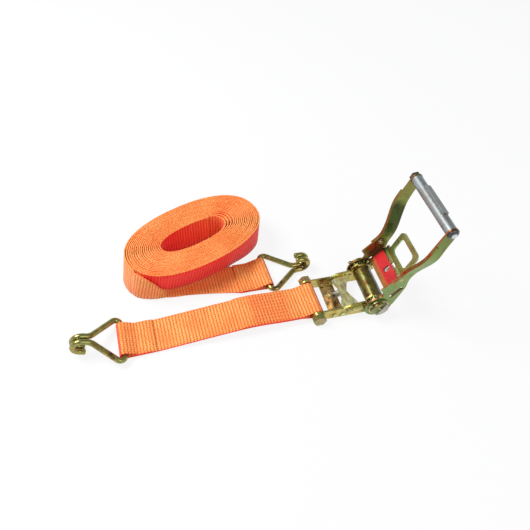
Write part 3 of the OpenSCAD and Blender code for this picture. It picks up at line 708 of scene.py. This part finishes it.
def foot_shift(flat):
    """How far the foot of a turn stands from its top, in the hank's own frame."""
    x, y = flat[:, 0], flat[:, 1]
    end = HANK_HALF[0]
    back = (LEAN * np.interp(x, [-end, -60, 40, end], [0.0, 1.0, 0.8, 0.0])
            * np.interp(y, [-20, 20], [1.0, -0.25]))
    out = -SPLAY * np.interp(x, [-end, -60], [1.0, 0.0])
    return np.stack([out, back], 1)


def long_strap():
    """Strap from its hook's eye along the tail into the wound part. Returns its length in mm."""
    lower = np.array(LONG_LAP)
    upper = lower + [0, WEB_T]
    path = np.concatenate([upper[::-1], loop_round((0, HOOK_Z), HOOK_EYE, *WRAP), lower])
    path = even(path, STEP)
    eye = placed(np.stack([path[:, 0], np.zeros(len(path)), path[:, 1]], 1),
                 (*LONG_EYE, 0), LONG_YAW)
    eye_side = np.repeat(placed([(0, 1, 0)], (0, 0, 0), LONG_YAW), len(eye), 0)
    near, far = catmull(NEAR, 8), catmull(FAR, 8)
    tail, tail_side = (near + far) / 2, unit(far - near)
    tail_share = np.minimum(np.linalg.norm(far - near, axis=1) / WEB_W, 1.0)
    flat = hank_line()
    c, s = math.cos(math.radians(HANK_TURN)), math.sin(math.radians(HANK_TURN))
    # The near side stands on the tail
    on_tail = np.interp(flat[:, 1], [-30, -10], [3.0, 0.4])

    def row(points, z):
        return np.stack([HANK_AT[0] + c * points[:, 0] - s * points[:, 1],
                         HANK_AT[1] + s * points[:, 0] + c * points[:, 1],
                         z + np.zeros(len(points))], 1)

    top = row(flat, TOP_Z)
    foot = row(flat + foot_shift(flat), on_tail)
    coil_side = unit(top - foot)
    coil = top - coil_side * WEB_W / 2
    xyz = np.concatenate([eye, tail, coil])
    side = np.concatenate([eye_side, tail_side, coil_side])
    n_eye, n_tail = len(eye), len(tail)
    length = np.linalg.norm(np.diff(xyz, axis=0), axis=1).sum()

    # Painted shade per face: round the eye as on the short strap, a little on the tail, none on
    # the wound part's top edges, and on its broad faces full except where they turn to the light
    # at the left; the innermost stretch keeps at least half
    def painted_shade(i, normal, on_edge):
        if i < n_eye:
            return EDGE_SHADE if on_edge else fold_shade(normal)
        if i < n_eye + n_tail:
            return 0.3 if on_edge else 0.1
        if on_edge:
            return 0.0
        if i > len(xyz) - INNER_POINTS:
            return 0.5 + 0.5 * float(np.clip(normal.x * 2.0, 0, 1))
        return float(np.clip(1.0 + (normal.x + 0.45) * 2.0, 0.1, 1.0))

    piece = tape("long_strap_web", xyz, side, COIL_T - TURN_PLAY, WEB_W - WEB_PLAY, "long_strap",
                 ["long_strap", "strap_hank"], painted_shade, lambda run, normal: 0.0, across=6,
                 narrow=np.concatenate([np.ones(n_eye), tail_share, np.ones(len(coil))]))
    return length


# ---- Hooks ----

WIRE_R, WIRE_SIDES = 4.0, 20
CHAMFER = 0.8
SHORT_PITCH, LONG_PITCH = 23.5, 3.3


def sweep(name, path, body, node):
    """A hook's round wire along the path, with its ends slightly chamfered."""
    p = np.asarray(path, float)
    along = tangents(p)
    v = np.array([0.1, 0.2, 1.0])
    rings = []
    for i in range(len(p)):
        v = unit(v - np.dot(v, along[i]) * along[i])
        w = np.cross(along[i], v)
        k = np.arange(WIRE_SIDES) * 2 * math.pi / WIRE_SIDES
        rings.append(np.cos(k)[:, None] * v + np.sin(k)[:, None] * w)
    verts, faces = [], []
    tip = 1 - CHAMFER / WIRE_R
    stack = [(p[0], rings[0], tip), (p[0] + along[0] * CHAMFER, rings[0], 1.0)]
    stack += [(p[i], rings[i], 1.0) for i in range(1, len(p) - 1)]
    stack += [(p[-1] - along[-1] * CHAMFER, rings[-1], 1.0), (p[-1], rings[-1], tip)]
    for centre, ring, scale in stack:
        verts.extend(centre + ring * WIRE_R * scale)
    for i in range(len(stack) - 1):
        for k in range(WIRE_SIDES):
            a, b = i * WIRE_SIDES + k, i * WIRE_SIDES + (k + 1) % WIRE_SIDES
            faces.append((b, a, a + WIRE_SIDES, b + WIRE_SIDES))
    faces.append(tuple(range(WIRE_SIDES)))
    last = (len(stack) - 1) * WIRE_SIDES
    faces.append(tuple(last + k for k in range(WIRE_SIDES - 1, -1, -1)))
    add_piece(name, np.array(verts) * MM, faces, "hook_zinc", body, [node])


def hook_path():
    """Centre line of a hook's wire in the hook's own frame: one half, and its mirror image."""
    half, bend, tip, shank = 31.0, 11.0, 8.0, 3.5
    corner_r, shoulder_r, slope = 7.0, 16.0, 38.0
    gap = WIRE_R + 0.2

    def arc(at, r, start, turn, steps):
        angles = [math.radians(start + turn * i / steps) for i in range(steps + 1)]
        return [np.array(at) + r * np.array([math.cos(a), math.sin(a), 0]) for a in angles]

    corner = arc((corner_r, half - corner_r, 0), corner_r, 180, -90 - slope, 14)
    arm = corner[-1]
    drop = arm[1] - shoulder_r * (1 - math.cos(math.radians(slope))) - gap
    c, s = math.cos(math.radians(slope)), math.sin(math.radians(slope))
    away = arm + drop / s * np.array([c, -s, 0])
    centre = away + shoulder_r * np.array([s, c, 0])
    shoulder = arc(centre, shoulder_r, -90 - slope, slope, 8)
    start = shoulder[-1] + np.array([shank, 0, 0])
    curl = [start + bend * np.array([math.sin(a), 0, 1 - math.cos(a)])
            for a in np.radians(np.linspace(0, 180, 25))]
    side = np.array(corner + shoulder + curl + [start + np.array([-tip, 0, 2 * bend])])
    return np.concatenate([side[::-1], side * [1, -1, 1]])


def turn_y(points, degrees):
    """Points turned about Y."""
    c, s = math.cos(math.radians(degrees)), math.sin(math.radians(degrees))
    p = np.asarray(points, float)
    return np.stack([c * p[:, 0] + s * p[:, 2], p[:, 1], -s * p[:, 0] + c * p[:, 2]], 1)


def hooks():
    """Both hooks, each pitched about the eye that holds it."""
    wire = hook_path()
    short = turn_y(wire, 180 + SHORT_PITCH)
    short = placed(short + [-SHORT_REACH, 0, HOOK_Z], (BOLT[0], 0, 0), SHORT_YAW)
    sweep("short_hook_wire", short, "short_hook", "hook_short")
    long = placed(turn_y(wire, LONG_PITCH), (*LONG_EYE, HOOK_Z), LONG_YAW)
    sweep("long_hook_wire", long, "long_hook", "hook_long")


# ---- Metal parts ----

# The nodes that take each material
METAL = {
    "arm_near": ["handle_plate_near"],
    "arm_far": ["handle_plate_far"],
    "rail": ["base_plate_near", "base_plate_far", "strap_bolt_washers"],
    "pawl_plate": ["drive_pawl"],
    "lock_zinc": ["lock_plate", "bracket_rivets", "web_rivets"],
    "wheel_zinc": ["ratchet_wheel_near", "ratchet_wheel_far", "spool_washers", "spool_cotters"],
    "spool_gold": ["spool_half_a"],
    "spool_grey": ["spool_half_b"],
    "bracket": ["spring_bracket", "strap_bolt_nut"],
    "green_hex": ["strap_bolt"],
    "spring_steel": ["lock_spring", "drive_spring"],
    "red_plate": ["handle_web"],
    "grip_metal": ["grip_tube"],
    "black_bolt": ["grip_bolt", "grip_nut"],
}


def finish_metal():
    for material, names in METAL.items():
        for name in names:
            node = NODES[name]
            node.data.materials.clear()
            node.data.materials.append(MATERIALS[material])


short_length = short_strap()
long_length = long_strap()
hooks()
finish_metal()
print("strap lengths, mm:", round(short_length), round(long_length))
